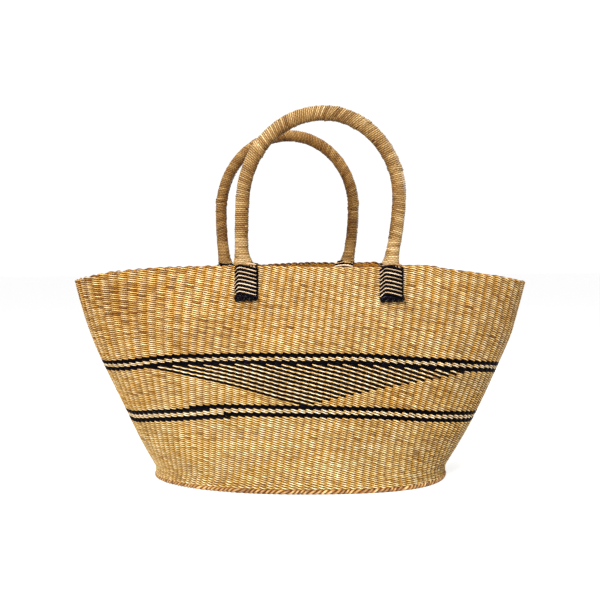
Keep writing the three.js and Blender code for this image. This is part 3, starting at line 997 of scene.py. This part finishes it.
class Pad:
    """The place of a lashing: across it, up from the rim, and out from the wall's outer face."""

    def __init__(self, side, sign):
        self.side = side
        self.back = side == "back"
        self.middle = LASHING_CENTRE + sign * LASHING_HALF_SPACING

    def point(self, across, up, out):
        across, up, out = np.broadcast_arrays(np.asarray(across, float), up, out)
        turn = np.arcsin((self.middle + across) / half_length_at(RIM + up))
        return wall_point(turn + (np.pi if self.back else 0), RIM + up, out)

    def outward(self):
        """The direction that faces out of the wall here."""
        return self.point(0, -10, 10) - self.point(0, -10, 0)


def smooth_path(corners, count):
    """A smooth curve through corner points."""
    corners = np.asarray(corners, float)
    padded = np.vstack([2 * corners[0] - corners[1], corners, 2 * corners[-1] - corners[-2]])
    place = np.linspace(0, len(corners) - 1 - 1e-9, count)
    span = np.floor(place).astype(int)
    t = (place - span)[:, None]
    a, b, c, d = padded[span], padded[span + 1], padded[span + 2], padded[span + 3]
    square = 2 * a - 5 * b + 4 * c - d
    cube = 3 * b - a - 3 * c + d
    return 0.5 * (2 * b + (c - a) * t + square * t**2 + cube * t**3)


def cord_tones(natural):
    return CORD_TONES if natural else BLACK_TONES


def outer_lashing(bundle, pad):
    """Cords laid across the pad, black and natural by turns, that fall a little to the right."""
    for index in range(OUTER_CORDS):
        up = -2.4 - OUTER_SPACING * index
        natural = index % 2 == 1
        fold = 1.5 + chance.normal(0, 0.3)
        proud = 5.1 + (-0.2 if natural else 0.35) + chance.normal(0, 0.12)
        corners = [
            (-11.2, up - 2.6 - 0.4 * fold, 0.6),
            (-10.4, up - 1.3 - 0.3 * fold, 3.4),
            (-7.4, up + 1.5, proud - 0.7),
            (-1.0, up + 0.75, proud),
            (6.0, up - 1.1, proud - 0.2),
            (9.9, up - 2.4, proud - 2.2),
            (10.9, up - 2.8, 0.6),
        ]
        path = smooth_path(corners, 26)
        path[:, 1] = np.minimum(path[:, 1], 0.6)
        points = pad.point(*path.T)
        level = 0.42 + chance.normal(0, 0.12) + 0.12 * np.sin(np.linspace(0, 9, 26) + index)
        # Painted shade on the upper and lower edges of each cord.
        bundle.cord(points, 0.76 if natural else 1.34, (0, 0, 1), cord_tones(natural), level, edge=0.25)
    up = np.linspace(-1.5, -31.5, 60)
    column = pad.point(10.7 + 0.25 * np.sin(up * 1.6), up, 3.0 + 0.35 * np.cos(up * 1.6))
    bundle.cord(column, 0.95, pad.outward(), BLACK_TONES, 0.4)


def tongue(bundle, pad):
    """The end of the handle's grass core, run down the wall under the cords."""
    up = np.linspace(-0.5, -29, 12)
    for across in (-7.6, -4.4, -1.4, 1.6, 4.6, 7.6):
        points = pad.point(across, up, 2.3)
        bundle.cord(points, 1.9, pad.outward(), ROPE_TONES, 0.35)


def knot(bundle, pad):
    """Black cord looped and pulled tight along the lower edge."""
    around = np.linspace(0, 2 * np.pi, 30)
    for across, wide, tall in ((-7.4, 3.9, 2.5), (-1.6, 3.5, 2.0), (4.0, 3.6, 2.2), (8.6, 2.9, 1.9)):
        tilt = chance.normal(0, 0.25)
        loop_across = across + wide * np.cos(around + tilt)
        loop_up = -33.4 + tall * np.sin(around) + 0.5 * np.cos(around)
        points = pad.point(loop_across, loop_up, 4.2 + 1.0 * np.sin(around + 0.8))
        # Painted highlight: each loop is paler at its top.
        level = 0.5 + 0.3 * np.sin(around)
        bundle.cord(points, 1.05, pad.outward(), BLACK_TONES, level, dark_ends=False)
    across = np.linspace(-10.4, 10.2, 24)
    for up, proud in ((-32.4, 3.2), (-34.2, 2.4)):
        points = pad.point(across, up + 0.6 * np.sin(across), proud)
        bundle.cord(points, 1.25, (0, 0, 1), BLACK_TONES, 0.4)


def saddle(bundle, pad):
    """The cords that pass over the rim under the handle's foot."""
    share = np.linspace(-1, 1, 22)
    across = SADDLE_HALF[pad.side] * share - (1.5 if pad.back else 0)
    for index, out in enumerate(np.linspace(3.0, -8.4, SADDLE_CORDS)):
        points = pad.point(across, 1.2 - 1.2 * share**2, out)
        natural = (index % 2 == 0) != pad.back
        # Painted shade: the natural cords under the handle's foot are set near their darkest tone.
        level = (0.05 if natural else 0.45) + chance.normal(0, 0.1)
        bundle.cord(points, 0.8 if natural else 1.15, (0, 0, 1), cord_tones(natural), level)


def inner_lashing(bundle, pad):
    """The same cords on the inside of the wall."""
    for index in range(INNER_CORDS):
        up = -0.4 - INNER_SPACING * index
        natural = (index % 2 == 1) != pad.back
        corners = [
            (-10.6, up - 1.6, -5.2),
            (-9.8, up - 0.8, -7.2),
            (-4.0, up + 0.5, -8.1),
            (3.0, up + 0.5, -8.1),
            (9.6, up - 0.8, -7.3),
            (10.6, up - 1.4, -5.2),
        ]
        path = smooth_path(corners, 20)
        points = pad.point(*path.T)
        bundle.cord(points, 1.08, (0, 0, 1), cord_tones(natural), 0.5 + chance.normal(0, 0.1))


# What fills the piece, the CAD node it stands for, the piece's own name, and its material and slot.
LASHING_PARTS = [
    (outer_lashing, "outer_lashing", "lashing_cords", STRIPED_CORD, "striped_lashing"),
    (tongue, "tongue", "core_end", GRASS_CORE, "grass_core"),
    (knot, "knot", "knotted_cord", BLACK_CORD, "black_straw"),
    (saddle, "saddle", "rim_cords", STRIPED_CORD, "striped_lashing"),
    (inner_lashing, "inner_lashing", "inner_cords", STRIPED_CORD, "striped_lashing"),
]


def lashing(side, sign):
    """Everything that ties one foot of a handle to the wall."""
    foot = f"{side}_{FOOT_NAMES[side, sign]}"
    for fill, node, name, material, slot in LASHING_PARTS:
        bundle = Bundle()
        fill(bundle, Pad(side, sign))
        bundle.stand_for([f"{foot}_{node}"], "basket", f"{foot}_{name}", material)


# ---------------- stage

def plain_material(name, grey, glow):
    """An even matt grey that also gives off some white light."""
    material = bpy.data.materials.new(name)
    material.use_nodes = True
    shader = material.node_tree.nodes["Principled BSDF"]
    shader.inputs["Base Color"].default_value = (grey, grey, grey, 1)
    shader.inputs["Roughness"].default_value = 0.9
    shader.inputs["Specular IOR Level"].default_value = 0.1
    shader.inputs["Emission Color"].default_value = (1, 1, 1, 1)
    shader.inputs["Emission Strength"].default_value = glow
    return material


def area_light(name, place, size, power):
    """A round light that points at the basket."""
    data = bpy.data.lights.new(name, "AREA")
    data.shape = "DISK"
    data.size = size
    data.energy = power
    light = bpy.data.objects.new(name, data)
    light.location = place
    across, ahead, down = np.array(LIGHTS_AIM, float) - np.array(light.location)
    tilt = math.atan2(math.hypot(across, ahead), -down)
    light.rotation_euler = (tilt, 0, math.atan2(-across, ahead))
    bpy.context.scene.collection.objects.link(light)
    return light


def stage():
    """The floor, the two lights and the pale world around them."""
    mesh = bpy.data.meshes.new("floor")
    far = FLOOR_REACH
    mesh.from_pydata([(-far, -far, 0), (far, -far, 0), (far, far, 0), (-far, far, 0)], [], [(0, 1, 2, 3)])
    mesh.materials.append(plain_material("floor", FLOOR_GREY, FLOOR_GLOW))
    floor = bpy.data.objects.new("floor", mesh)
    bpy.context.scene.collection.objects.link(floor)
    [area_light(*light) for light in LIGHTS]

    world = bpy.data.worlds.new("studio")
    world.use_nodes = True
    tree = world.node_tree
    sky = tree.nodes["Background"]
    sky.inputs["Color"].default_value = (1, 1, 1, 1)
    place = tree.nodes.new("ShaderNodeTexCoord")
    parts = tree.nodes.new("ShaderNodeSeparateXYZ")
    tree.links.new(place.outputs["Generated"], parts.inputs["Vector"])
    light = map_range(tree, parts.outputs["Z"], SKY_FADE, SKY_LIGHT)
    tree.links.new(light, sky.inputs["Strength"])
    bpy.context.scene.world = world
    bpy.context.scene.view_settings.view_transform = "Standard"


def camera():
    """The photograph's view: level, from in front, and rolled a little."""
    data = bpy.data.cameras.new("camera")
    data.lens = CAMERA_LENS
    data.sensor_width = CAMERA_SENSOR
    data.shift_y = CAMERA_SHIFT
    data.dof.use_dof = False
    eye = bpy.data.objects.new("camera", data)
    eye.location = CAMERA_PLACE
    eye.rotation_euler = (math.pi / 2, CAMERA_ROLL, 0)
    bpy.context.scene.collection.objects.link(eye)
    bpy.context.scene.camera = eye


woven_wall()
stakes()
rim_border()
foot_rope()
base_mat()
for handle_side in ("front", "back"):
    handle(handle_side)
    for leg_sign in (-1, 1):
        foot_binding(handle_side, leg_sign)
        lashing(handle_side, leg_sign)
stage()
camera()
